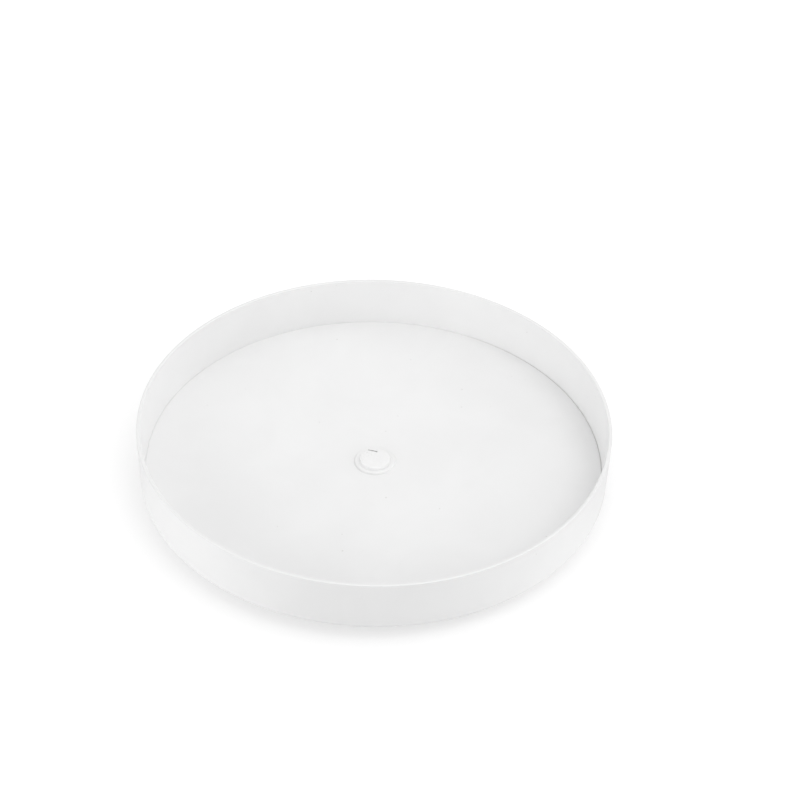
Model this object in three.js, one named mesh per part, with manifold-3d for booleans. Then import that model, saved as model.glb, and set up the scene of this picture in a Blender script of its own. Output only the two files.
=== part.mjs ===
// Lazy susan turntable: a shallow round tray on a slim ball-race base.
// Millimetres, +Z up. The origin is on the resting surface, on the spin axis.
//
// The tray carries the outer half of the ball race, a tubular pivot boss and
// stiffening ribs on its underside. The base plate carries the other half of
// the race. Steel balls in a flat retainer ring run between the two. A
// self-tapping screw with a washer goes up through the base hub into the tray
// boss and keeps the two together. Rubber pads sit in pockets under the base.

import * as THREE from "three";
import { mergeVertices } from "three/addons/utils/BufferGeometryUtils.js";
import Module from "manifold-3d";

const wasm = await Module();
wasm.setup();

// ---------------------------------------------------------------- dimensions

// Stack of heights
const PAD_PROUD = 0.8; // the base plate's underside stands this far off the table
const BASE_T = 1.8; // base plate thickness
const BALL_D = 3.5; // steel ball diameter
const RUN = 0.05; // running clearance over and under each ball
const Z_BASE = PAD_PROUD; // underside of the base plate
const Z_BASE_TOP = Z_BASE + BASE_T; // 2.6, floor of the lower race
const Z_BALL = Z_BASE_TOP + RUN + BALL_D / 2; // 4.4, ball centres
const Z_TRAY = Z_BALL + BALL_D / 2 + RUN; // 6.2, underside of the tray
const TRAY_H = 20; // tray height, underside to rim
const Z_RIM = Z_TRAY + TRAY_H; // 26.2
const FLOOR_T = 1.5; // tray floor thickness
const Z_FLOOR = Z_TRAY + FLOOR_T; // 7.7, where things stand

// Tray
const R_RIM = 85; // outer radius at the rim: diameter 170
const R_FOOT = 84.15; // outer radius at the bottom, after the draft
const RIM_T = 1.7; // rim thickness, full-round on top
const R_WELL = 82.5; // inner radius at the floor: diameter 165
const WELL_FILLET = 0.4; // inner corner between floor and wall
const FOOT_FILLET = 0.55; // outer bottom corner
const R_STEP = 7.3; // raised step over the pivot boss
const H_STEP = 0.55;
const R_BUTTON = 5.2; // button on the step
const H_BUTTON = 1.0;
const R_BOSS = 4.0; // pivot boss, outside
const R_PILOT = 1.25; // screw pilot hole in the boss
const Z_BOSS = 3.7; // lower end of the boss
const Z_PILOT = 8.45; // blind end of the pilot hole

// Ball race
const R_RACE = 50; // pitch radius
const RACE_HALF = 2.1; // half the channel width
const RACE_RIB = 1.2; // thickness of the channel ribs
const H_RACE_RIB = 1.2; // height of the channel ribs
const BALLS = 16;

// Retainer ring
const CAGE_T = 0.9;
const CAGE_IN = 45.4;
const CAGE_OUT = 54.6;
const R_POCKET = 1.95;

// Base plate
const R_BASE = 64; // outside
const LIP_T = 1.4;
const Z_LIP = 5.4; // top of the dust lip
const R_HUB = 9.4; // hub cup, outside
const R_HUB_IN = 8.2; // recess for the washer and screw head
const Z_HUB_CEIL = 3.8; // ceiling of the recess
const Z_HUB = 5.2; // top of the hub
const R_BORE = 4.1; // pivot bore in the hub
const RIBS = 8;
const RIB_W = 1.2;

// Pads
const PADS = 6;
const R_PAD = 5.5;
const PAD_T = 1.55;
const R_PAD_CIRCLE = 56.2;
const R_POCKET_PAD = 5.75;
const POCKET_DEPTH = 0.8;

// Screw and washer
const WASHER_R = 7.0;
const WASHER_HOLE = 1.6;
const WASHER_T = 0.65;
const Z_WASHER = Z_BOSS - 0.02 - WASHER_T;
const HEAD_R = 3.3;
const HEAD_T = 1.55;
const Z_HEAD = Z_WASHER - 0.02 - HEAD_T;
const SHANK_R = 1.2;
const Z_TIP = 8.2;

const SEG = 72; // facets round the large turned pieces

// ------------------------------------------------------------------ helpers

const V = (x, y) => new THREE.Vector2(x, y);

// Points of an arc in the profile plane, both ends included.
function arc(cx, cy, r, from, to, steps) {
  const out = [];
  for (let i = 0; i <= steps; i++) {
    const a = THREE.MathUtils.degToRad(from + ((to - from) * i) / steps);
    out.push(V(cx + r * Math.cos(a), cy + r * Math.sin(a)));
  }
  return out;
}

// A turned piece about Z from (radius, height) points. Points run from the
// bottom upwards along the outside, so that the faces point out.
function turned(points, segments = SEG) {
  const g = new THREE.LatheGeometry(points, segments);
  g.rotateX(Math.PI / 2); // the lathe turns about Y
  return g;
}

function solid(geometry) {
  const g = geometry.clone();
  g.deleteAttribute("normal");
  if (g.getAttribute("uv")) g.deleteAttribute("uv");
  const m = mergeVertices(g, 1e-4);
  const index = m.index.array;
  const kept = [];
  for (let i = 0; i < index.length; i += 3) {
    const [a, b, c] = [index[i], index[i + 1], index[i + 2]];
    if (a !== b && b !== c && c !== a) kept.push(a, b, c);
  }
  const made = new wasm.Manifold(
    new wasm.Mesh({
      numProp: 3,
      vertProperties: new Float32Array(m.attributes.position.array),
      triVerts: new Uint32Array(kept),
    }),
  );
  if (made.volume() < 0) throw new Error("a profile runs the wrong way round");
  return made;
}

function geometryOf(manifold) {
  const m = manifold.getMesh();
  const n = m.numProp;
  const position = new Float32Array(m.numVert * 3);
  for (let i = 0; i < m.numVert; i++)
    position.set(m.vertProperties.subarray(i * n, i * n + 3), i * 3);
  const g = new THREE.BufferGeometry();
  g.setAttribute("position", new THREE.BufferAttribute(position, 3));
  g.setIndex(new THREE.BufferAttribute(new Uint32Array(m.triVerts), 1));
  g.computeVertexNormals();
  return g;
}

// An upright cylinder between two heights.
function rod(radius, z0, z1, segments, x = 0, y = 0) {
  const g = new THREE.CylinderGeometry(radius, radius, z1 - z0, segments);
  g.rotateX(Math.PI / 2);
  g.translate(x, y, (z0 + z1) / 2);
  return solid(g);
}

// A radial rib between two radii, turned to an angle about Z.
function rib(r0, r1, width, z0, z1, degrees) {
  const g = new THREE.BoxGeometry(r1 - r0, width, z1 - z0);
  g.translate((r0 + r1) / 2, 0, (z0 + z1) / 2);
  g.rotateZ(THREE.MathUtils.degToRad(degrees));
  return solid(g);
}

// ---------------------------------------------------------------- materials

const plastic = (color, roughness) =>
  new THREE.MeshStandardMaterial({ color, roughness, metalness: 0 });
const whitePlastic = plastic(0xf1f1ef, 0.48);
const basePlastic = plastic(0xeeeeec, 0.55);
const cagePlastic = plastic(0xe4e2da, 0.5);
const padRubber = plastic(0xb9bab8, 0.9);
const ballSteel = new THREE.MeshStandardMaterial({
  color: 0xd2d4d6,
  roughness: 0.12,
  metalness: 1,
});
const zincSteel = new THREE.MeshStandardMaterial({
  color: 0xb9bcbf,
  roughness: 0.35,
  metalness: 1,
});

const turntable = new THREE.Group();
turntable.name = "lazy_susan_turntable";

function add(name, geometry, material, parent = turntable) {
  const mesh = new THREE.Mesh(geometry, material);
  mesh.name = name;
  parent.add(mesh);
  return mesh;
}

// --------------------------------------------------------------------- tray

const rimR = RIM_T / 2;
const rimC = R_RIM - rimR;
const raceIn0 = R_RACE - RACE_HALF - RACE_RIB;
const raceIn1 = R_RACE - RACE_HALF;
const raceOut0 = R_RACE + RACE_HALF;
const raceOut1 = R_RACE + RACE_HALF + RACE_RIB;

const trayProfile = [
  // pilot hole and boss
  V(0, Z_PILOT),
  V(R_PILOT, Z_PILOT),
  V(R_PILOT, Z_BOSS),
  V(R_BOSS - 0.3, Z_BOSS),
  V(R_BOSS, Z_BOSS + 0.3),
  V(R_BOSS, Z_TRAY),
  // underside with the two ribs of the upper race
  V(raceIn0, Z_TRAY),
  V(raceIn0, Z_TRAY - H_RACE_RIB),
  V(raceIn1, Z_TRAY - H_RACE_RIB),
  V(raceIn1, Z_TRAY),
  V(raceOut0, Z_TRAY),
  V(raceOut0, Z_TRAY - H_RACE_RIB),
  V(raceOut1, Z_TRAY - H_RACE_RIB),
  V(raceOut1, Z_TRAY),
  // bottom corner, drafted outer wall, rounded rim
  ...arc(R_FOOT - FOOT_FILLET, Z_TRAY + FOOT_FILLET, FOOT_FILLET, -90, 0, 2),
  ...arc(rimC, Z_RIM - rimR, rimR, 0, 180, 4),
  // inner wall and its fillet to the floor
  ...arc(
    R_WELL - WELL_FILLET,
    Z_FLOOR + WELL_FILLET,
    WELL_FILLET,
    0,
    -90,
    3,
  ),
  // raised step and button over the boss
  V(R_STEP + 0.05, Z_FLOOR),
  V(R_STEP - 0.1, Z_FLOOR + H_STEP - 0.15),
  V(R_STEP - 0.3, Z_FLOOR + H_STEP),
  V(R_BUTTON + 0.15, Z_FLOOR + H_STEP),
  V(R_BUTTON - 0.15, Z_FLOOR + H_STEP + H_BUTTON - 0.35),
  V(R_BUTTON - 0.7, Z_FLOOR + H_STEP + H_BUTTON - 0.08),
  V(0, Z_FLOOR + H_STEP + H_BUTTON),
];

let tray = solid(turned(trayProfile));
for (let i = 0; i < RIBS; i++)
  tray = tray.add(
    rib(R_BOSS - 0.6, raceIn0 + 0.4, 1.0, Z_TRAY - 0.8, Z_TRAY + 0.4, i * 45),
  );
add("tray", geometryOf(tray), whitePlastic);

// --------------------------------------------------------------- base plate

const baseProfile = [
  V(R_BORE, Z_HUB_CEIL),
  V(R_HUB_IN, Z_HUB_CEIL),
  V(R_HUB_IN, Z_BASE),
  ...arc(R_BASE - 0.5, Z_BASE + 0.5, 0.5, -90, 0, 2),
  V(R_BASE, Z_LIP - 0.3),
  V(R_BASE - 0.3, Z_LIP),
  V(R_BASE - LIP_T + 0.2, Z_LIP),
  V(R_BASE - LIP_T, Z_LIP - 0.2),
  V(R_BASE - LIP_T, Z_BASE_TOP),
  V(raceOut1, Z_BASE_TOP),
  V(raceOut1, Z_BASE_TOP + H_RACE_RIB),
  V(raceOut0, Z_BASE_TOP + H_RACE_RIB),
  V(raceOut0, Z_BASE_TOP),
  V(raceIn1, Z_BASE_TOP),
  V(raceIn1, Z_BASE_TOP + H_RACE_RIB),
  V(raceIn0, Z_BASE_TOP + H_RACE_RIB),
  V(raceIn0, Z_BASE_TOP),
  V(R_HUB, Z_BASE_TOP),
  V(R_HUB, Z_HUB - 0.3),
  V(R_HUB - 0.3, Z_HUB),
  V(R_BORE, Z_HUB),
  V(R_BORE, Z_HUB_CEIL),
];

let base = solid(turned(baseProfile));
for (let i = 0; i < RIBS; i++)
  base = base.add(
    rib(
      R_HUB - 0.6,
      raceIn0 + 0.4,
      RIB_W,
      Z_BASE_TOP - 0.4,
      Z_BASE_TOP + 1.0,
      22.5 + i * 45,
    ),
  );
for (let i = 0; i < PADS; i++) {
  const a = THREE.MathUtils.degToRad(30 + i * 60);
  base = base.subtract(
    rod(
      R_POCKET_PAD,
      Z_BASE - 1,
      Z_BASE + POCKET_DEPTH,
      24,
      R_PAD_CIRCLE * Math.cos(a),
      R_PAD_CIRCLE * Math.sin(a),
    ),
  );
}
add("base_plate", geometryOf(base), basePlastic);

// -------------------------------------------------- retainer ring and balls

const cageProfile = [
  V(CAGE_IN, Z_BALL - CAGE_T / 2),
  V(CAGE_OUT, Z_BALL - CAGE_T / 2),
  V(CAGE_OUT, Z_BALL + CAGE_T / 2),
  V(CAGE_IN, Z_BALL + CAGE_T / 2),
  V(CAGE_IN, Z_BALL - CAGE_T / 2),
];
const bearing = new THREE.Group();
turntable.add(bearing);
let cage = solid(turned(cageProfile));
for (let i = 0; i < BALLS; i++) {
  const a = (i * 2 * Math.PI) / BALLS;
  const x = R_RACE * Math.cos(a);
  const y = R_RACE * Math.sin(a);
  cage = cage.subtract(rod(R_POCKET, Z_BALL - 2, Z_BALL + 2, 16, x, y));
  const ball = add(
    "ball_" + String(i + 1).padStart(2, "0"),
    new THREE.IcosahedronGeometry(BALL_D / 2, 2),
    ballSteel,
    bearing,
  );
  ball.position.set(x, y, Z_BALL);
}
add("ball_cage", geometryOf(cage), cagePlastic, bearing);

// --------------------------------------------------------- screw and washer

add(
  "pivot_washer",
  turned(
    [
      V(WASHER_HOLE, Z_WASHER),
      V(WASHER_R - 0.15, Z_WASHER),
      V(WASHER_R, Z_WASHER + 0.15),
      V(WASHER_R, Z_WASHER + WASHER_T),
      V(WASHER_HOLE, Z_WASHER + WASHER_T),
      V(WASHER_HOLE, Z_WASHER),
    ],
    32,
  ),
  zincSteel,
);

let screw = solid(
  turned(
    [
      V(0, Z_HEAD),
      V(HEAD_R - 1.1, Z_HEAD + 0.12),
      V(HEAD_R - 0.35, Z_HEAD + 0.5),
      V(HEAD_R, Z_HEAD + 1.05),
      V(HEAD_R, Z_HEAD + HEAD_T),
      V(SHANK_R, Z_HEAD + HEAD_T),
      V(SHANK_R, Z_TIP - 1.2),
      V(0.25, Z_TIP),
      V(0, Z_TIP),
    ],
    28,
  ),
);
for (const turn of [0, 90])
  screw = screw.subtract(
    rib(-1.65, 1.65, 0.75, Z_HEAD - 0.5, Z_HEAD + 0.95, turn),
  );
add("pivot_screw", geometryOf(screw), zincSteel);

// --------------------------------------------------------------------- pads

for (let i = 0; i < PADS; i++) {
  const a = THREE.MathUtils.degToRad(30 + i * 60);
  const pad = add(
    "foot_pad_" + (i + 1),
    turned(
      [
        V(0, 0),
        V(R_PAD - 0.35, 0),
        V(R_PAD, 0.35),
        V(R_PAD, PAD_T),
        V(0, PAD_T),
      ],
      24,
    ),
    padRubber,
  );
  pad.position.set(
    R_PAD_CIRCLE * Math.cos(a),
    R_PAD_CIRCLE * Math.sin(a),
    0,
  );
}

export default turntable;
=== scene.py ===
import math

import bmesh
import bpy
from mathutils import Matrix, Vector


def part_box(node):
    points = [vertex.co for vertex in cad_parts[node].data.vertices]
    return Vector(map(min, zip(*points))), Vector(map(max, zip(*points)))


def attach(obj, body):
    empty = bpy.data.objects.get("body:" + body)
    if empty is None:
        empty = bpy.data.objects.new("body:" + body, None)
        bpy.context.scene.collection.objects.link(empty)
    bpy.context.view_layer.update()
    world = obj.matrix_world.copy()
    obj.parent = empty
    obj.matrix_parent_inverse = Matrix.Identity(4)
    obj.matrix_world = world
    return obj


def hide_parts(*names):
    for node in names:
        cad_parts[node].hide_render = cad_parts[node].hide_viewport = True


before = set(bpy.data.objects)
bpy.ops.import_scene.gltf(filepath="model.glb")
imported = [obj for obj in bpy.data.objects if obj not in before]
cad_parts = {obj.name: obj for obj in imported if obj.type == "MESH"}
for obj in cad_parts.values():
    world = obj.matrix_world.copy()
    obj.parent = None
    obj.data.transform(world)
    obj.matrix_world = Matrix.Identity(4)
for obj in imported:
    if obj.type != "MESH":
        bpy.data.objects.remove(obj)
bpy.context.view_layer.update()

MM = 0.001


# ---------------------------------------------------------------- the frame

def corners(node):
    low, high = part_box(node)
    return [v / MM for v in low], [v / MM for v in high]


tray_low, tray_high = corners("tray")
base_low, base_high = corners("base_plate")
cage_low, cage_high = corners("ball_cage")
screw_low, screw_high = corners("pivot_screw")
washer_low, washer_high = corners("pivot_washer")

R_RIM = tray_high[0]
Z_RIM = tray_high[2]
TRAY_H = 20.0
Z_TRAY = Z_RIM - TRAY_H
Z_FLOOR = Z_TRAY + 1.5
Z_BOSS = tray_low[2]
R_BASE = base_high[0]
Z_BASE = base_low[2]
Z_BASE_TOP = Z_BASE + 1.8
Z_LIP = base_high[2]
R_RACE = 50.0
BALLS = sorted(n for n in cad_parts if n.startswith("ball_") and n != "ball_cage")
PADS = sorted(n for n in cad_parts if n.startswith("foot_pad_"))


# ------------------------------------------------------------ mesh building

def arc(cx, cz, r, a0, a1, n):
    out = []
    for i in range(n + 1):
        a = math.radians(a0 + (a1 - a0) * i / n)
        out.append((cx + r * math.cos(a), cz + r * math.sin(a)))
    return out


def rounded(points, closed=False, steps=4):
    """A profile from (radius, height, corner radius) points, each corner rounded."""
    out = []
    n = len(points)
    for i, (x, z, rad) in enumerate(points):
        if rad <= 0 or (not closed and i in (0, n - 1)):
            out.append((x, z))
            continue
        p = Vector((x, z))
        a = Vector(points[(i - 1) % n][:2]) - p
        b = Vector(points[(i + 1) % n][:2]) - p
        half = a.angle(b) / 2
        if abs(half - math.pi / 2) < 0.01:
            out.append((x, z))
            continue
        d = min(rad / math.tan(half), 0.48 * a.length, 0.48 * b.length)
        r = d * math.tan(half)
        centre = p + (a.normalized() + b.normalized()).normalized() * (r / math.sin(half))
        v0 = p + a.normalized() * d - centre
        v1 = p + b.normalized() * d - centre
        turn = math.atan2(v0.x * v1.y - v0.y * v1.x, v0.dot(v1))
        for k in range(steps + 1):
            t = turn * k / steps
            out.append((centre.x + v0.x * math.cos(t) - v0.y * math.sin(t),
                        centre.y + v0.x * math.sin(t) + v0.y * math.cos(t)))
    return out


def turned_bm(points, segments, closed=False, centre=(0.0, 0.0)):
    """A turned solid about Z, from (radius, height) in millimetres."""
    bm = bmesh.new()
    rings = []
    for r, z in points:
        if r < 1e-6:
            rings.append([bm.verts.new((centre[0] * MM, centre[1] * MM, z * MM))])
            continue
        ring = []
        for j in range(segments):
            a = 2 * math.pi * j / segments
            ring.append(bm.verts.new(((centre[0] + r * math.cos(a)) * MM,
                                      (centre[1] + r * math.sin(a)) * MM, z * MM)))
        rings.append(ring)
    pairs = list(zip(rings, rings[1:]))
    if closed:
        pairs.append((rings[-1], rings[0]))
    for a, b in pairs:
        for j in range(segments):
            k = (j + 1) % segments
            if len(a) == 1 and len(b) == 1:
                continue
            if len(a) == 1:
                bm.faces.new((a[0], b[j], b[k]))
            elif len(b) == 1:
                bm.faces.new((a[j], a[k], b[0]))
            else:
                bm.faces.new((a[j], a[k], b[k], b[j]))
    bmesh.ops.recalc_face_normals(bm, faces=bm.faces)
    return bm


def box_bm(low, high, turn=0.0, centre=(0.0, 0.0), bevel=0.0):
    bm = bmesh.new()
    bmesh.ops.create_cube(bm, size=1.0)
    for v in bm.verts:
        v.co = Vector([(low[i] + (v.co[i] + 0.5) * (high[i] - low[i])) * MM for i in range(3)])
    if bevel > 0:
        bmesh.ops.bevel(bm, geom=list(bm.edges), offset=bevel * MM, segments=2, affect="EDGES", profile=0.5)
    m = Matrix.Translation((centre[0] * MM, centre[1] * MM, 0)) @ Matrix.Rotation(math.radians(turn), 4, "Z")
    bmesh.ops.transform(bm, matrix=m, verts=bm.verts)
    bmesh.ops.recalc_face_normals(bm, faces=bm.faces)
    return bm


def object_from(bm, name):
    mesh = bpy.data.meshes.new(name)
    bm.to_mesh(mesh)
    bm.free()
    obj = bpy.data.objects.new(name, mesh)
    bpy.context.scene.collection.objects.link(obj)
    return obj


def boolean(obj, tools, how):
    """Joins or cuts obj with the tool meshes, applies the result and removes the tools."""
    for t in tools:
        mod = obj.modifiers.new("cut", "BOOLEAN")
        mod.operation = how
        mod.solver = "EXACT"
        mod.object = t
    graph = bpy.context.evaluated_depsgraph_get()
    mesh = bpy.data.meshes.new_from_object(obj.evaluated_get(graph))
    obj.modifiers.clear()
    old = obj.data
    obj.data = mesh
    bpy.data.meshes.remove(old)
    for t in tools:
        data = t.data
        bpy.data.objects.remove(t)
        bpy.data.meshes.remove(data)


def merged(parts):
    """One bmesh holding several separate closed shapes."""
    out = bmesh.new()
    for bm in parts:
        tmp = bpy.data.meshes.new("tmp")
        bm.to_mesh(tmp)
        bm.free()
        out.from_mesh(tmp)
        bpy.data.meshes.remove(tmp)
    return out


def finish_mesh(obj, angle=38):
    """Smooth shading with the hard edges kept, and normals weighted to the large faces."""
    mesh = obj.data
    mesh.polygons.foreach_set("use_smooth", [True] * len(mesh.polygons))
    mesh.set_sharp_from_angle(angle=math.radians(angle))
    mod = obj.modifiers.new("weighted", "WEIGHTED_NORMAL")
    mod.keep_sharp = True
    mod.weight = 70
    mesh.update()


# ---------------------------------------------------------------- materials

def nodes_of(name):
    mat = bpy.data.materials.new(name)
    mat.use_nodes = True
    nt = mat.node_tree
    nt.nodes.clear()
    out = nt.nodes.new("ShaderNodeOutputMaterial")
    shader = nt.nodes.new("ShaderNodeBsdfPrincipled")
    nt.links.new(shader.outputs["BSDF"], out.inputs["Surface"])
    return mat, nt, shader


def add_node(nt, kind, inputs=None, **attrs):
    node = nt.nodes.new(kind)
    for k, v in attrs.items():
        setattr(node, k, v)
    for k, v in (inputs or {}).items():
        if isinstance(v, bpy.types.NodeSocket):
            nt.links.new(v, node.inputs[k])
        else:
            node.inputs[k].default_value = v
    return node


def coords(nt):
    return add_node(nt, "ShaderNodeTexCoord").outputs["Object"]


def noise_of(nt, where, scale, detail=3.0, rough=0.55, distortion=0.0):
    return add_node(nt, "ShaderNodeTexNoise", {"Vector": where, "Scale": scale, "Detail": detail,
                                               "Roughness": rough, "Distortion": distortion}).outputs["Fac"]


def maths(nt, op, a, b=None, c=None, clamp=False):
    ins = {0: a}
    if b is not None:
        ins[1] = b
    if c is not None:
        ins[2] = c
    return add_node(nt, "ShaderNodeMath", ins, operation=op, use_clamp=clamp).outputs[0]


def between(nt, value, lo, hi, out_lo=0.0, out_hi=1.0, smooth=True):
    return add_node(nt, "ShaderNodeMapRange",
                    {"Value": value, "From Min": lo, "From Max": hi, "To Min": out_lo, "To Max": out_hi},
                    interpolation_type="SMOOTHSTEP" if smooth else "LINEAR").outputs["Result"]


def blend_colour(nt, fac, a, b, how="MIX"):
    node = nt.nodes.new("ShaderNodeMix")
    node.data_type = "RGBA"
    node.blend_type = how
    for key, v in ((0, fac), (6, a), (7, b)):
        if isinstance(v, bpy.types.NodeSocket):
            nt.links.new(v, node.inputs[key])
        else:
            node.inputs[key].default_value = v
    return node.outputs[2]


def bump_of(nt, height, strength, distance, normal=None):
    ins = {"Strength": strength, "Distance": distance, "Height": height}
    if normal is not None:
        ins["Normal"] = normal
    return add_node(nt, "ShaderNodeBump", ins).outputs["Normal"]


def grey(v, tint=0.0):
    return (v, v, v * (1 - tint), 1.0)


def white_plastic(name, tone=0.80, specks=1.0, gate=False):
    """Satin injection-moulded polypropylene: faint cloudiness, a fine moulded texture, dust specks and handling marks."""
    mat, nt, bsdf = nodes_of(name)
    where = coords(nt)

    # colour: slight clouding, then specks
    cloud = noise_of(nt, where, 28.0, 3.0, 0.6, 0.4)
    colour = blend_colour(nt, between(nt, cloud, 0.3, 0.7), grey(tone * 0.985), grey(tone * 1.012))

    cells = add_node(nt, "ShaderNodeTexVoronoi", {"Vector": where, "Scale": 210.0, "Randomness": 1.0})
    pick = add_node(nt, "ShaderNodeSeparateColor", {"Color": cells.outputs["Color"]})
    chosen = maths(nt, "GREATER_THAN", pick.outputs["Red"], 0.74)
    size = maths(nt, "MULTIPLY_ADD", pick.outputs["Green"], 0.055, 0.022)
    dot = maths(nt, "LESS_THAN", cells.outputs["Distance"], size)
    strong = maths(nt, "MULTIPLY_ADD", pick.outputs["Blue"], 0.5, 0.25)
    speck = maths(nt, "MULTIPLY", maths(nt, "MULTIPLY", dot, chosen), maths(nt, "MULTIPLY", strong, 0.42 * specks))
    colour = blend_colour(nt, speck, colour, (0.36, 0.34, 0.31, 1.0))

    # handling marks: short faint scuffs
    stretched = add_node(nt, "ShaderNodeMapping", {"Vector": where, "Rotation": (0.0, 0.0, 0.5), "Scale": (1.0, 7.0, 1.0)})
    scuff_field = noise_of(nt, stretched.outputs["Vector"], 95.0, 4.0, 0.75, 1.2)
    patch = noise_of(nt, where, 38.0, 2.0, 0.5)
    scuffs = maths(nt, "MULTIPLY", between(nt, scuff_field, 0.66, 0.74), between(nt, patch, 0.56, 0.68))
    colour = blend_colour(nt, maths(nt, "MULTIPLY", scuffs, 0.10), colour, (0.45, 0.45, 0.44, 1.0))

    rough = between(nt, noise_of(nt, where, 60.0, 4.0, 0.6), 0.25, 0.75, 0.40, 0.50)
    rough = maths(nt, "MULTIPLY_ADD", scuffs, 0.12, rough)

    fine = noise_of(nt, where, 2600.0, 2.0, 0.6)
    orange = noise_of(nt, where, 420.0, 3.0, 0.5)
    normal = bump_of(nt, orange, 0.10, 0.00006)
    normal = bump_of(nt, fine, 0.16, 0.00003, normal)
    normal = bump_of(nt, scuffs, 0.2, 0.00002, normal)

    if gate:
        # the sheared gate scar on the button, with painted shade in its groove
        xyz = add_node(nt, "ShaderNodeSeparateXYZ", {"Vector": where})
        shifted = add_node(nt, "ShaderNodeVectorMath", {0: where}, operation="SUBTRACT")
        shifted.inputs[1].default_value = (OFF_X * MM, OFF_Y * MM, 0.0)
        radius = add_node(nt, "ShaderNodeVectorMath", {0: shifted.outputs[0]}, operation="MULTIPLY")
        radius.inputs[1].default_value = (1.0, 1.0, 0.0)
        length = add_node(nt, "ShaderNodeVectorMath", {0: radius.outputs[0]}, operation="LENGTH").outputs["Value"]
        top = maths(nt, "GREATER_THAN", xyz.outputs["Z"], (Z_FLOOR + 0.3) * MM)
        inside = maths(nt, "MULTIPLY", maths(nt, "LESS_THAN", length, 5.7 * MM), top)
        # painted shade in the groove: low-lying faces inside the groove's outline are darkened
        ca, sa = math.cos(math.radians(GATE_TURN)), math.sin(math.radians(GATE_TURN))
        dx = maths(nt, "SUBTRACT", xyz.outputs["X"], GATE_X * MM)
        dy = maths(nt, "SUBTRACT", xyz.outputs["Y"], GATE_Y * MM)
        u = maths(nt, "ADD", maths(nt, "MULTIPLY", dx, ca), maths(nt, "MULTIPLY", dy, sa))
        v = maths(nt, "SUBTRACT", maths(nt, "MULTIPLY", dy, ca), maths(nt, "MULTIPLY", dx, sa))
        ragged = maths(nt, "MULTIPLY_ADD", noise_of(nt, where, 2200.0, 3.0, 0.7), 0.0005, -0.00025)
        across = maths(nt, "ADD", maths(nt, "ABSOLUTE", v), ragged)
        along = maths(nt, "ABSOLUTE", u)
        groove = maths(nt, "MULTIPLY", between(nt, across, (GATE_W / 2 + 0.12) * MM, (GATE_W / 2 - 0.06) * MM),
                       between(nt, along, (GATE_L / 2 + 0.15) * MM, (GATE_L / 2 - 0.15) * MM))
        groove = maths(nt, "MULTIPLY", groove, inside)
        # the skin round the gate is drawn and slightly whitened
        colour = blend_colour(nt, maths(nt, "MULTIPLY", inside, 0.24), colour, grey(0.88))
        # painted shade in the groove, uneven in strength
        groove_shade = between(nt, noise_of(nt, where, 1300.0, 3.0, 0.7), 0.35, 0.62, 0.16, 0.46)
        colour = blend_colour(nt, maths(nt, "MULTIPLY", groove, groove_shade), colour, (0.14, 0.14, 0.135, 1.0))
        # torn, slightly whitened skin with small dark pits on the far-left half
        tear = noise_of(nt, where, 1500.0, 4.0, 0.8, 0.6)
        pits = maths(nt, "MULTIPLY", between(nt, tear, 0.56, 0.64), inside)
        side = between(nt, maths(nt, "SUBTRACT", xyz.outputs["Y"], maths(nt, "MULTIPLY", xyz.outputs["X"], 1.0)),
                       0.0008, 0.0040)
        colour = blend_colour(nt, maths(nt, "MULTIPLY", maths(nt, "MULTIPLY", pits, side), 0.40), colour, (0.30, 0.29, 0.27, 1.0))
        rough = maths(nt, "MULTIPLY_ADD", inside, 0.10, rough)
        crumpled = noise_of(nt, where, 1100.0, 5.0, 0.7, 0.5)
        height = maths(nt, "MULTIPLY", crumpled, inside)
        normal = bump_of(nt, height, 0.7, 0.00026, normal)

        # painted shade in the crease at the button's foot, darkest on one side
        a = math.radians(222)
        turned = maths(nt, "ADD", maths(nt, "MULTIPLY", maths(nt, "SUBTRACT", xyz.outputs["X"], OFF_X * MM), math.cos(a)),
                       maths(nt, "MULTIPLY", maths(nt, "SUBTRACT", xyz.outputs["Y"], OFF_Y * MM), math.sin(a)))
        crease_shade = between(nt, maths(nt, "ABSOLUTE", maths(nt, "SUBTRACT", length, 7.42 * MM)), 0.34 * MM, 0.08 * MM)
        crease_shade = maths(nt, "MULTIPLY", crease_shade, maths(nt, "GREATER_THAN", xyz.outputs["Z"], (Z_FLOOR - 0.1) * MM))
        colour = blend_colour(nt, maths(nt, "MULTIPLY", crease_shade, between(nt, turned, -0.002, 0.007, 0.03, 0.22)), colour, (0.40, 0.395, 0.385, 1.0))

        # painted shade: the rim's top is darkened and made rougher, and the witness line at the foot of the wall is
        # darkened
        plan = add_node(nt, "ShaderNodeVectorMath", {0: where}, operation="MULTIPLY")
        plan.inputs[1].default_value = (1.0, 1.0, 0.0)
        reach = add_node(nt, "ShaderNodeVectorMath", {0: plan.outputs[0]}, operation="LENGTH").outputs["Value"]
        shaded_rim_top = between(nt, xyz.outputs["Z"], (Z_RIM - 0.7) * MM, (Z_RIM - 0.25) * MM)
        colour = blend_colour(nt, maths(nt, "MULTIPLY", shaded_rim_top, 0.38), colour, grey(tone * 0.87))
        rough = maths(nt, "MULTIPLY_ADD", shaded_rim_top, 0.08, rough)
        low = maths(nt, "LESS_THAN", xyz.outputs["Z"], (Z_FLOOR - 0.03) * MM)
        near = maths(nt, "GREATER_THAN", reach, (R_WELL - LINE_W - 0.15) * MM)
        high = maths(nt, "GREATER_THAN", xyz.outputs["Z"], (Z_FLOOR - LINE_D - 0.1) * MM)
        within = maths(nt, "LESS_THAN", reach, (R_WELL + 0.05) * MM)
        line = maths(nt, "MULTIPLY", maths(nt, "MULTIPLY", low, near), maths(nt, "MULTIPLY", high, within))
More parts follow.
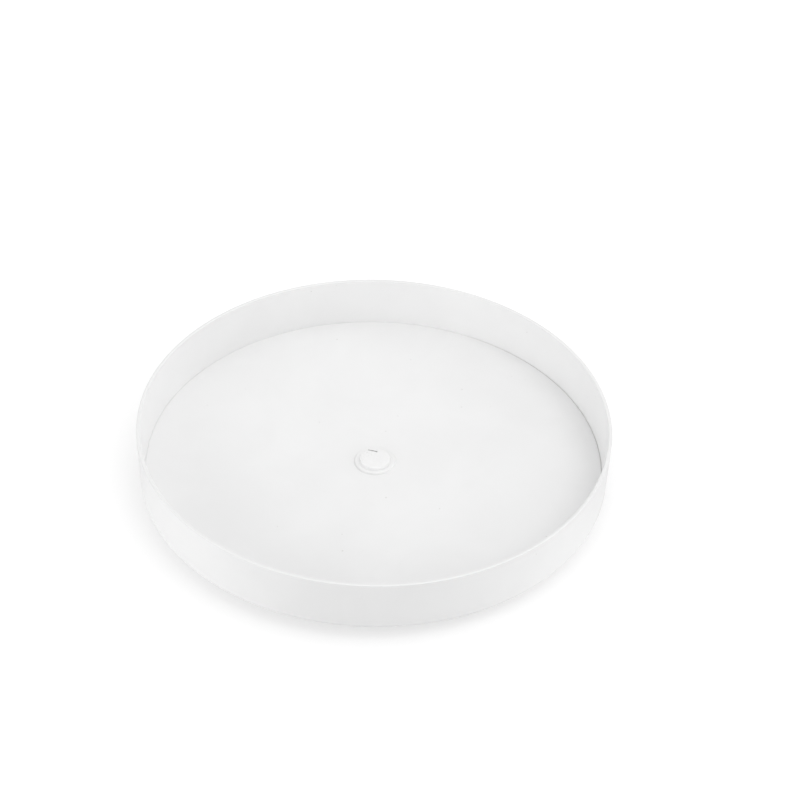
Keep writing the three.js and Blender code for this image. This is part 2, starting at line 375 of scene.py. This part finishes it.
        # painted shade: the line is darker on one side
        a = math.radians(18)
        lean = maths(nt, "ADD", maths(nt, "MULTIPLY", xyz.outputs["X"], math.cos(a)), maths(nt, "MULTIPLY", xyz.outputs["Y"], math.sin(a)))
        side_shade = between(nt, lean, 0.050, 0.076, 0.0, 0.33)
        corner_shade = maths(nt, "ADD", between(nt, noise_of(nt, where, 24.0, 3.0, 0.6), 0.35, 0.65, 0.0, 0.10), side_shade)
        colour = blend_colour(nt, maths(nt, "MULTIPLY", line, corner_shade), colour, (0.42, 0.415, 0.40, 1.0))

    nt.links.new(colour, bsdf.inputs["Base Color"])
    nt.links.new(rough, bsdf.inputs["Roughness"])
    nt.links.new(normal, bsdf.inputs["Normal"])
    bsdf.inputs["IOR"].default_value = 1.49
    bsdf.inputs["Subsurface Weight"].default_value = 0.18
    bsdf.inputs["Subsurface Radius"].default_value = (1.0, 1.0, 1.0)
    bsdf.inputs["Subsurface Scale"].default_value = 0.0012
    return mat


def natural_plastic(name):
    mat, nt, bsdf = nodes_of(name)
    where = coords(nt)
    cloud = noise_of(nt, where, 60.0, 3.0, 0.6)
    colour = blend_colour(nt, cloud, (0.70, 0.68, 0.60, 1.0), (0.77, 0.75, 0.68, 1.0))
    nt.links.new(colour, bsdf.inputs["Base Color"])
    nt.links.new(between(nt, noise_of(nt, where, 150.0), 0.3, 0.7, 0.36, 0.46), bsdf.inputs["Roughness"])
    nt.links.new(bump_of(nt, noise_of(nt, where, 1500.0, 2.0), 0.12, 0.00003), bsdf.inputs["Normal"])
    bsdf.inputs["Subsurface Weight"].default_value = 0.3
    bsdf.inputs["Subsurface Scale"].default_value = 0.001
    return mat


def steel(name, colour_a, colour_b, rough_a, rough_b, scale, bump):
    mat, nt, bsdf = nodes_of(name)
    where = coords(nt)
    field = noise_of(nt, where, scale, 5.0, 0.65, 0.3)
    nt.links.new(blend_colour(nt, field, colour_a, colour_b), bsdf.inputs["Base Color"])
    nt.links.new(between(nt, field, 0.3, 0.7, rough_a, rough_b), bsdf.inputs["Roughness"])
    nt.links.new(bump_of(nt, noise_of(nt, where, scale * 6, 3.0, 0.7), 0.2, bump), bsdf.inputs["Normal"])
    bsdf.inputs["Metallic"].default_value = 1.0
    return mat


def rubber(name):
    mat, nt, bsdf = nodes_of(name)
    where = coords(nt)
    field = noise_of(nt, where, 300.0, 4.0, 0.7)
    nt.links.new(blend_colour(nt, field, (0.40, 0.405, 0.40, 1.0), (0.50, 0.505, 0.50, 1.0)), bsdf.inputs["Base Color"])
    nt.links.new(between(nt, field, 0.3, 0.7, 0.78, 0.92), bsdf.inputs["Roughness"])
    nt.links.new(bump_of(nt, noise_of(nt, where, 1800.0, 4.0, 0.8), 0.45, 0.00008), bsdf.inputs["Normal"])
    return mat


R_WELL = 82.5
# the fine witness line where the floor meets the wall
LINE_W, LINE_D = 0.40, 0.16
# gate scar on the central button
GATE_X, GATE_Y, GATE_L, GATE_W, GATE_TURN = -0.49, 4.40, 3.7, 0.55, -17.0
# the button sits a little off the tray's centre, as moulded
OFF_X, OFF_Y = 0.42, 0.35

tray_material = white_plastic("tray_polypropylene", 0.80, 1.0, gate=True)
base_material = white_plastic("base_polypropylene", 0.77, 0.6)
cage_material = natural_plastic("cage_acetal")
ball_material = steel("bearing_steel", (0.62, 0.63, 0.65, 1), (0.72, 0.73, 0.74, 1), 0.06, 0.14, 900.0, 0.000004)
zinc_material = steel("zinc_plated_steel", (0.52, 0.53, 0.55, 1), (0.68, 0.69, 0.70, 1), 0.24, 0.42, 500.0, 0.00001)
pad_material = rubber("pad_rubber")


def piece(obj, body, material, slot, *replaced, angle=38):
    finish_mesh(obj, angle)
    obj.data.materials.clear()
    obj.data.materials.append(material)
    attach(obj, body)
    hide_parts(*replaced)
    return obj


# --------------------------------------------------------------------- tray

R_FOOT = R_RIM - 0.85
RIM_T = 1.3
R_STEP, H_STEP = 7.3, 0.60
R_BUTTON, H_BUTTON = 5.45, 1.05
R_BOSS = 4.0
R_PILOT = 1.25
RACE_HALF, RACE_RIB, H_RACE_RIB = 2.1, 1.2, 1.2
in0, in1 = R_RACE - RACE_HALF - RACE_RIB, R_RACE - RACE_HALF
out0, out1 = R_RACE + RACE_HALF, R_RACE + RACE_HALF + RACE_RIB
under = rounded([
    (0, Z_FLOOR + 0.75, 0),
    (R_PILOT - 0.12, Z_FLOOR + 0.75, 0.1),
    (R_PILOT, Z_BOSS + 0.5, 0),
    (R_PILOT + 0.35, Z_BOSS, 0.08),
    (R_BOSS, Z_BOSS, 0.35),
    (R_BOSS, Z_TRAY, 0.35),
    (in0, Z_TRAY, 0.2),
    (in0, Z_TRAY - H_RACE_RIB, 0.25),
    (in1, Z_TRAY - H_RACE_RIB, 0.25),
    (in1, Z_TRAY, 0.15),
    (out0, Z_TRAY, 0.15),
    (out0, Z_TRAY - H_RACE_RIB, 0.25),
    (out1, Z_TRAY - H_RACE_RIB, 0.25),
    (out1, Z_TRAY, 0.2),
    (R_FOOT - 3.2, Z_TRAY, 0),
], steps=4)
wall = rounded([
    (R_FOOT - 3.2, Z_TRAY, 0),
    (R_FOOT, Z_TRAY, 0.55),
    (R_RIM, Z_RIM, 0.36),
    (R_RIM - RIM_T, Z_RIM, 0.36),
    (R_WELL, Z_FLOOR - LINE_D, 0.10),
    (R_WELL - LINE_W, Z_FLOOR - LINE_D, 0.10),
    (R_WELL - LINE_W, Z_FLOOR, 0.10),
    (80.0, Z_FLOOR, 0),
], steps=5)[1:-1]
floor_rings = [(r, Z_FLOOR) for r in (76, 64, 52, 40, 28, 18, 11)]
button = rounded([
    (9.0, Z_FLOOR, 0),
    (R_STEP + 0.15, Z_FLOOR, 0.18),
    (R_STEP - 0.15, Z_FLOOR + H_STEP, 0.22),
    (R_BUTTON + 0.25, Z_FLOOR + H_STEP - 0.06, 0.14),
    (R_BUTTON - 0.05, Z_FLOOR + H_STEP + H_BUTTON - 0.12, 0.22),
    (R_BUTTON - 1.4, Z_FLOOR + H_STEP + H_BUTTON - 0.03, 0),
    (2.6, Z_FLOOR + H_STEP + H_BUTTON - 0.02, 0),
    (1.2, Z_FLOOR + H_STEP + H_BUTTON, 0),
    (0, Z_FLOOR + H_STEP + H_BUTTON, 0),
], steps=5)
bm = turned_bm(under + wall + floor_rings + button, 288)
for v in bm.verts:
    r = math.hypot(v.co.x, v.co.y) / MM
    if v.co.z > (Z_FLOOR - 0.01) * MM and r < 9.2:
        hold = 1.0 if r < 8.0 else max(0.0, (9.2 - r) / 1.2)
        v.co.x += OFF_X * hold * MM
        v.co.y += OFF_Y * hold * MM
tray = object_from(bm, "tray_moulding")

# stiffening ribs and the moulded bosses' ejector marks under the floor
ribs = [box_bm((R_BOSS - 0.8, -0.5, Z_TRAY - 0.8), (in0 + 0.5, 0.5, Z_TRAY + 0.4), i * 45, bevel=0.16) for i in range(8)]
boolean(tray, [object_from(b, "tool") for b in ribs], "UNION")
marks = []
for i in range(8):
    a = math.radians(22.5 + i * 45)
    marks.append(turned_bm([(0, Z_TRAY - 1), (2.4, Z_TRAY - 1), (2.4, Z_TRAY + 0.12), (0, Z_TRAY + 0.12)], 32,
                           centre=(68 * math.cos(a), 68 * math.sin(a))))
    marks.append(turned_bm([(0, Z_TRAY - 1), (2.0, Z_TRAY - 1), (2.0, Z_TRAY + 0.12), (0, Z_TRAY + 0.12)], 28,
                           centre=(26 * math.cos(a), 26 * math.sin(a))))
boolean(tray, [object_from(merged(marks), "tool")], "DIFFERENCE")
# the groove of the sheared gate
groove = box_bm((-GATE_L / 2, -GATE_W / 2, Z_FLOOR + H_STEP + H_BUTTON - 0.40), (GATE_L / 2, GATE_W / 2, Z_FLOOR + 3),
                GATE_TURN, (GATE_X, GATE_Y))
boolean(tray, [object_from(groove, "tool")], "DIFFERENCE")
piece(tray, "tray", tray_material, "tray_plastic", "tray")


# --------------------------------------------------------------- base plate

R_HUB, R_HUB_IN, R_BORE = 9.4, 8.2, 4.1
Z_CEIL, Z_HUB = 3.8, 5.2
LIP_T = 1.4
base_points = rounded([
    (R_BORE, Z_CEIL, 0.15),
    (R_HUB_IN, Z_CEIL, 0.25),
    (R_HUB_IN, Z_BASE, 0.3),
    (R_BASE - 1.0, Z_BASE, 0),
    (R_BASE, Z_BASE, 0.55),
    (R_BASE, Z_LIP, 0.35),
    (R_BASE - LIP_T, Z_LIP, 0.35),
    (R_BASE - LIP_T, Z_BASE_TOP, 0.4),
    (out1, Z_BASE_TOP, 0.2),
    (out1, Z_BASE_TOP + H_RACE_RIB, 0.25),
    (out0, Z_BASE_TOP + H_RACE_RIB, 0.25),
    (out0, Z_BASE_TOP, 0.3),
    (in1, Z_BASE_TOP, 0.3),
    (in1, Z_BASE_TOP + H_RACE_RIB, 0.25),
    (in0, Z_BASE_TOP + H_RACE_RIB, 0.25),
    (in0, Z_BASE_TOP, 0.2),
    (R_HUB, Z_BASE_TOP, 0.3),
    (R_HUB, Z_HUB, 0.35),
    (R_BORE, Z_HUB, 0.3),
], closed=True, steps=4)
base = object_from(turned_bm(base_points, 240, closed=True), "base_moulding")
boolean(base, [object_from(box_bm((R_HUB - 0.7, -0.6, Z_BASE_TOP - 0.4), (in0 + 0.5, 0.6, Z_BASE_TOP + 1.0),
                                  22.5 + i * 45, bevel=0.18), "tool") for i in range(8)], "UNION")
pockets = []
for name in PADS:
    low, high = corners(name)
    cx, cy = (low[0] + high[0]) / 2, (low[1] + high[1]) / 2
    pockets.append(turned_bm([(0, Z_BASE - 1), (5.75, Z_BASE - 1), (5.75, Z_BASE + 0.8), (0, Z_BASE + 0.8)], 64, centre=(cx, cy)))
for i in range(6):
    a = math.radians(i * 60)
    pockets.append(turned_bm([(0, Z_BASE - 1), (2.5, Z_BASE - 1), (2.5, Z_BASE + 0.12), (0, Z_BASE + 0.12)], 32,
                             centre=(33 * math.cos(a), 33 * math.sin(a))))
boolean(base, [object_from(merged(pockets), "tool")], "DIFFERENCE")
piece(base, "base", base_material, "base_plastic", "base_plate")


# ------------------------------------------------ retainer ring, then balls

mid = (cage_low[2] + cage_high[2]) / 2
half = (cage_high[2] - cage_low[2]) / 2
ring_points = rounded([
    (45.4, mid - half, 0.22), (54.6, mid - half, 0.22), (54.6, mid + half, 0.22), (45.4, mid + half, 0.22),
], closed=True, steps=3)
cage = object_from(turned_bm(ring_points, 240, closed=True), "retainer_ring")
holes = []
for name in BALLS:
    low, high = corners(name)
    holes.append(turned_bm([(0, mid - 2), (1.95, mid - 2), (1.95, mid + 2), (0, mid + 2)], 48,
                           centre=((low[0] + high[0]) / 2, (low[1] + high[1]) / 2)))
# lightening slots between the pockets
for i in range(len(BALLS)):
    a = math.radians(360 / len(BALLS) * (i + 0.5))
    for da in (-0.055, 0.0, 0.055):
        holes.append(turned_bm([(0, mid - 2), (1.15, mid - 2), (1.15, mid + 2), (0, mid + 2)], 24,
                               centre=(R_RACE * math.cos(a + da), R_RACE * math.sin(a + da))))
boolean(cage, [object_from(merged(holes), "tool")], "DIFFERENCE")
piece(cage, "cage", cage_material, "cage_plastic", "ball_cage")

for name in BALLS:
    low, high = corners(name)
    centre = Vector([(low[i] + high[i]) / 2 for i in range(3)])
    bm = bmesh.new()
    bmesh.ops.create_cube(bm, size=2.0)
    bmesh.ops.subdivide_edges(bm, edges=bm.edges, cuts=9, use_grid_fill=True)
    for v in bm.verts:
        v.co = (centre + v.co.normalized() * 1.75) * MM
    ball = object_from(bm, "steel_" + name)
    piece(ball, name, ball_material, "ball_steel", name, angle=80)


# --------------------------------------------------------- screw and washer

washer = object_from(turned_bm(rounded([
    (1.6, washer_low[2], 0.1), (7.0, washer_low[2], 0.28), (7.0, washer_high[2], 0.06), (1.6, washer_high[2], 0.06),
], closed=True, steps=3), 96, closed=True), "plated_washer")
piece(washer, "tray", zinc_material, "zinc_steel", "pivot_washer")

head_z = screw_low[2]
head_t = 1.55
tip_z = screw_high[2]
shank = head_z + head_t
thread_0, thread_1 = shank + 0.25, tip_z - 0.15
rings_n = int((thread_1 - thread_0) / 0.085)
shaft = [(0.9, thread_0 + (thread_1 - thread_0) * i / rings_n) for i in range(rings_n + 1)]
bm = turned_bm(rounded([
    (0, head_z, 0), (1.9, head_z + 0.10, 0.4), (3.0, head_z + 0.55, 0.5), (3.3, head_z + 1.1, 0.3),
    (3.3, shank, 0.1), (0.9, shank, 0.08), (0.9, shank + 0.2, 0),
], steps=4) + shaft + [(0, tip_z)], 72)
# the rolled thread: the shaft's radius follows a helix and tapers into the point
PITCH = 1.06
for v in bm.verts:
    z = v.co.z / MM
    r = math.hypot(v.co.x, v.co.y) / MM
    if z < thread_0 - 0.01 or r < 0.01:
        continue
    phase = (z - thread_0) / PITCH - math.atan2(v.co.y, v.co.x) / (2 * math.pi)
    ridge = max(0.0, (1 - 2 * abs(phase % 1.0 - 0.5) - 0.40) / 0.60)
    taper = min(1.0, max(0.16, (tip_z - z) / 1.2))
    grow = min(1.0, (z - thread_0) / 0.5)
    want = (0.84 + 0.06 * (1 - grow) + 0.36 * ridge * grow) * taper
    v.co.x *= want / r
    v.co.y *= want / r
screw = object_from(bm, "pan_head_screw")
recess = []
for turn in (0, 90):
    bm = box_bm((-1.65, -0.38, head_z - 0.5), (1.65, 0.38, head_z + 0.95), turn)
    for v in bm.verts:
        if v.co.z > (head_z + 0.5) * MM:
            v.co.x *= 0.72
            v.co.y *= 0.72
    recess.append(object_from(bm, "tool"))
boolean(screw, recess, "DIFFERENCE")
piece(screw, "tray", zinc_material, "zinc_steel", "pivot_screw", angle=32)


# --------------------------------------------------------------------- pads

for name in PADS:
    low, high = corners(name)
    cx, cy = (low[0] + high[0]) / 2, (low[1] + high[1]) / 2
    points = rounded([
        (0, 0.12, 0), (3.0, 0.12, 0.1), (3.15, 0.0, 0.08), (3.75, 0.0, 0.08), (3.9, 0.16, 0.08), (4.2, 0.16, 0.08),
        (4.35, 0.0, 0.08), (5.5, 0.0, 0.4), (5.5, high[2], 0.12), (0, high[2], 0),
    ], steps=4)
    pad = object_from(turned_bm(points, 72, centre=(cx, cy)), "rubber_" + name)
    piece(pad, "base", pad_material, "pad_rubber", name)


# -------------------------------------------------------------------- stage
# The studio table is two sheets. The camera sees the white one; the object is
# lit by the one under it, which carries the pools of light on the table.

def sheet_of(name, z):
    return object_from(turned_bm([(0, z - 1.0), (6000, z - 1.0), (6000, z), (1500, z), (400, z), (150, z), (0, z)], 96), name)


floor = sheet_of("floor", 0.0)
floor_mat, nt, bsdf = nodes_of("studio_floor")
field = noise_of(nt, coords(nt), 3.0, 3.0, 0.5)
nt.links.new(blend_colour(nt, field, (0.41, 0.41, 0.41, 1), (0.43, 0.43, 0.43, 1)), bsdf.inputs["Base Color"])
bsdf.inputs["Roughness"].default_value = 0.8
bsdf.inputs["Specular IOR Level"].default_value = 0.1
bsdf.inputs["Emission Color"].default_value = (1.0, 1.0, 1.0, 1.0)
bsdf.inputs["Emission Strength"].default_value = 0.60
floor.data.materials.append(floor_mat)
for flag in ("visible_diffuse", "visible_glossy", "visible_transmission", "visible_shadow"):
    setattr(floor, flag, False)

table = sheet_of("table_bounce", -0.05)
table.visible_camera = False
table_mat, table_nt, table_bsdf = nodes_of("studio_table")
table_bsdf.inputs["Base Color"].default_value = (0.40, 0.40, 0.40, 1.0)
table_bsdf.inputs["Roughness"].default_value = 0.8
table_bsdf.inputs["Specular IOR Level"].default_value = 0.1
table.data.materials.append(table_mat)

# a plain white wall far behind, seen by the camera only
backdrop = object_from(turned_bm([(5900, -1), (6000, -1), (6000, 4500), (5900, 4500)], 96, closed=True), "backdrop")
wall_mat, wall_nt, wall_bsdf = nodes_of("studio_wall")
field = noise_of(wall_nt, coords(wall_nt), 0.5, 2.0, 0.5)
wall_nt.links.new(blend_colour(wall_nt, field, (0.20, 0.20, 0.20, 1), (0.22, 0.22, 0.22, 1)), wall_bsdf.inputs["Base Color"])
wall_bsdf.inputs["Roughness"].default_value = 0.9
wall_bsdf.inputs["Specular IOR Level"].default_value = 0.0
wall_bsdf.inputs["Emission Color"].default_value = (1.0, 1.0, 1.0, 1.0)
wall_bsdf.inputs["Emission Strength"].default_value = 0.92
backdrop.data.materials.append(wall_mat)
for flag in ("visible_diffuse", "visible_glossy", "visible_transmission", "visible_shadow"):
    setattr(backdrop, flag, False)


def light_pools(pools):
    """Soft pools of light on the table round the object: (azimuth, strength) each."""
    nt = table_nt
    where = coords(nt)
    xyz = add_node(nt, "ShaderNodeSeparateXYZ", {"Vector": where})
    x, y = xyz.outputs["X"], xyz.outputs["Y"]
    radius = maths(nt, "SQRT", maths(nt, "ADD", maths(nt, "MULTIPLY", x, x), maths(nt, "MULTIPLY", y, y)))
    reach = maths(nt, "MULTIPLY", between(nt, radius, 0.070, 0.092), between(nt, radius, 0.45, 0.12))
    total = None
    for azimuth, strength in pools:
        a = math.radians(azimuth)
        along = maths(nt, "ADD", maths(nt, "MULTIPLY", x, math.cos(a)), maths(nt, "MULTIPLY", y, math.sin(a)))
        facing = maths(nt, "MAXIMUM", maths(nt, "DIVIDE", along, maths(nt, "MAXIMUM", radius, 0.001)), 0.0)
        lobe = maths(nt, "MULTIPLY", maths(nt, "POWER", facing, 3.0), strength)
        total = lobe if total is None else maths(nt, "ADD", total, lobe)
    power = maths(nt, "MULTIPLY", total, reach)
    table_bsdf.inputs["Emission Color"].default_value = (1.0, 1.0, 1.0, 1.0)
    nt.links.new(power, table_bsdf.inputs["Emission Strength"])


world = bpy.data.worlds.new("studio")
bpy.context.scene.world = world
world.use_nodes = True
background = world.node_tree.nodes["Background"]
background.inputs["Color"].default_value = (1.0, 1.0, 1.0, 1.0)


def softbox(name, azimuth, elevation, spread, power):
    """A distant soft light. Azimuth 0 is +X, 90 is +Y, away from the camera; spread is its width in degrees."""
    data = bpy.data.lights.new(name, "SUN")
    data.energy = power
    data.angle = math.radians(spread)
    obj = bpy.data.objects.new(name, data)
    bpy.context.scene.collection.objects.link(obj)
    a, e = math.radians(azimuth), math.radians(elevation)
    towards = Vector((math.cos(e) * math.cos(a), math.cos(e) * math.sin(a), math.sin(e)))
    obj.rotation_euler = (-towards).to_track_quat("-Z", "Y").to_euler()
    obj.location = towards * 1.5
    return obj


WORLD = 0.80
SOFTBOXES = [(12, 20, 0.44), (220, 20, 0.75), (300, 20, 0.19), (50, 60, 0.15), (330, 60, 0.54)]
POOLS = [(200, 0.38), (220, 0.30), (320, 0.41), (340, 0.213)]
background.inputs["Strength"].default_value = WORLD
for n, (azimuth, elevation, power) in enumerate(SOFTBOXES):
    softbox("softbox_%02d" % n, azimuth, elevation, 36 if elevation < 80 else 60, power)
light_pools(POOLS)


# ------------------------------------------------------------------- camera

camera_data = bpy.data.cameras.new("camera")
camera = bpy.data.objects.new("camera", camera_data)
bpy.context.scene.collection.objects.link(camera)
FOCAL_PX = 2838.0
camera_data.sensor_width = 36.0
camera_data.lens = 36.0 * FOCAL_PX / 800.0
camera_data.clip_start = 0.01
camera_data.clip_end = 50.0
elev = math.radians(40.41)
aim = Vector((0, 0, (Z_TRAY + 10.0) * MM))
back = Vector((0, -math.cos(elev), math.sin(elev)))
look = (-back).to_track_quat("-Z", "Y").to_matrix()
look = look @ Matrix.Rotation(math.radians(1.05), 3, "Z")
# where the aim point lies in the frame, as an offset from its centre
seen = Vector((-25.9 / FOCAL_PX, -44.1 / FOCAL_PX, -1.0)).normalized()
look = look @ seen.rotation_difference(Vector((0, 0, -1))).to_matrix()
camera.matrix_world = Matrix.Translation(aim + back * 1.021) @ look.to_4x4()
bpy.context.scene.camera = camera
bpy.context.scene.view_settings.view_transform = "Standard"
bpy.context.scene.view_settings.look = "None"
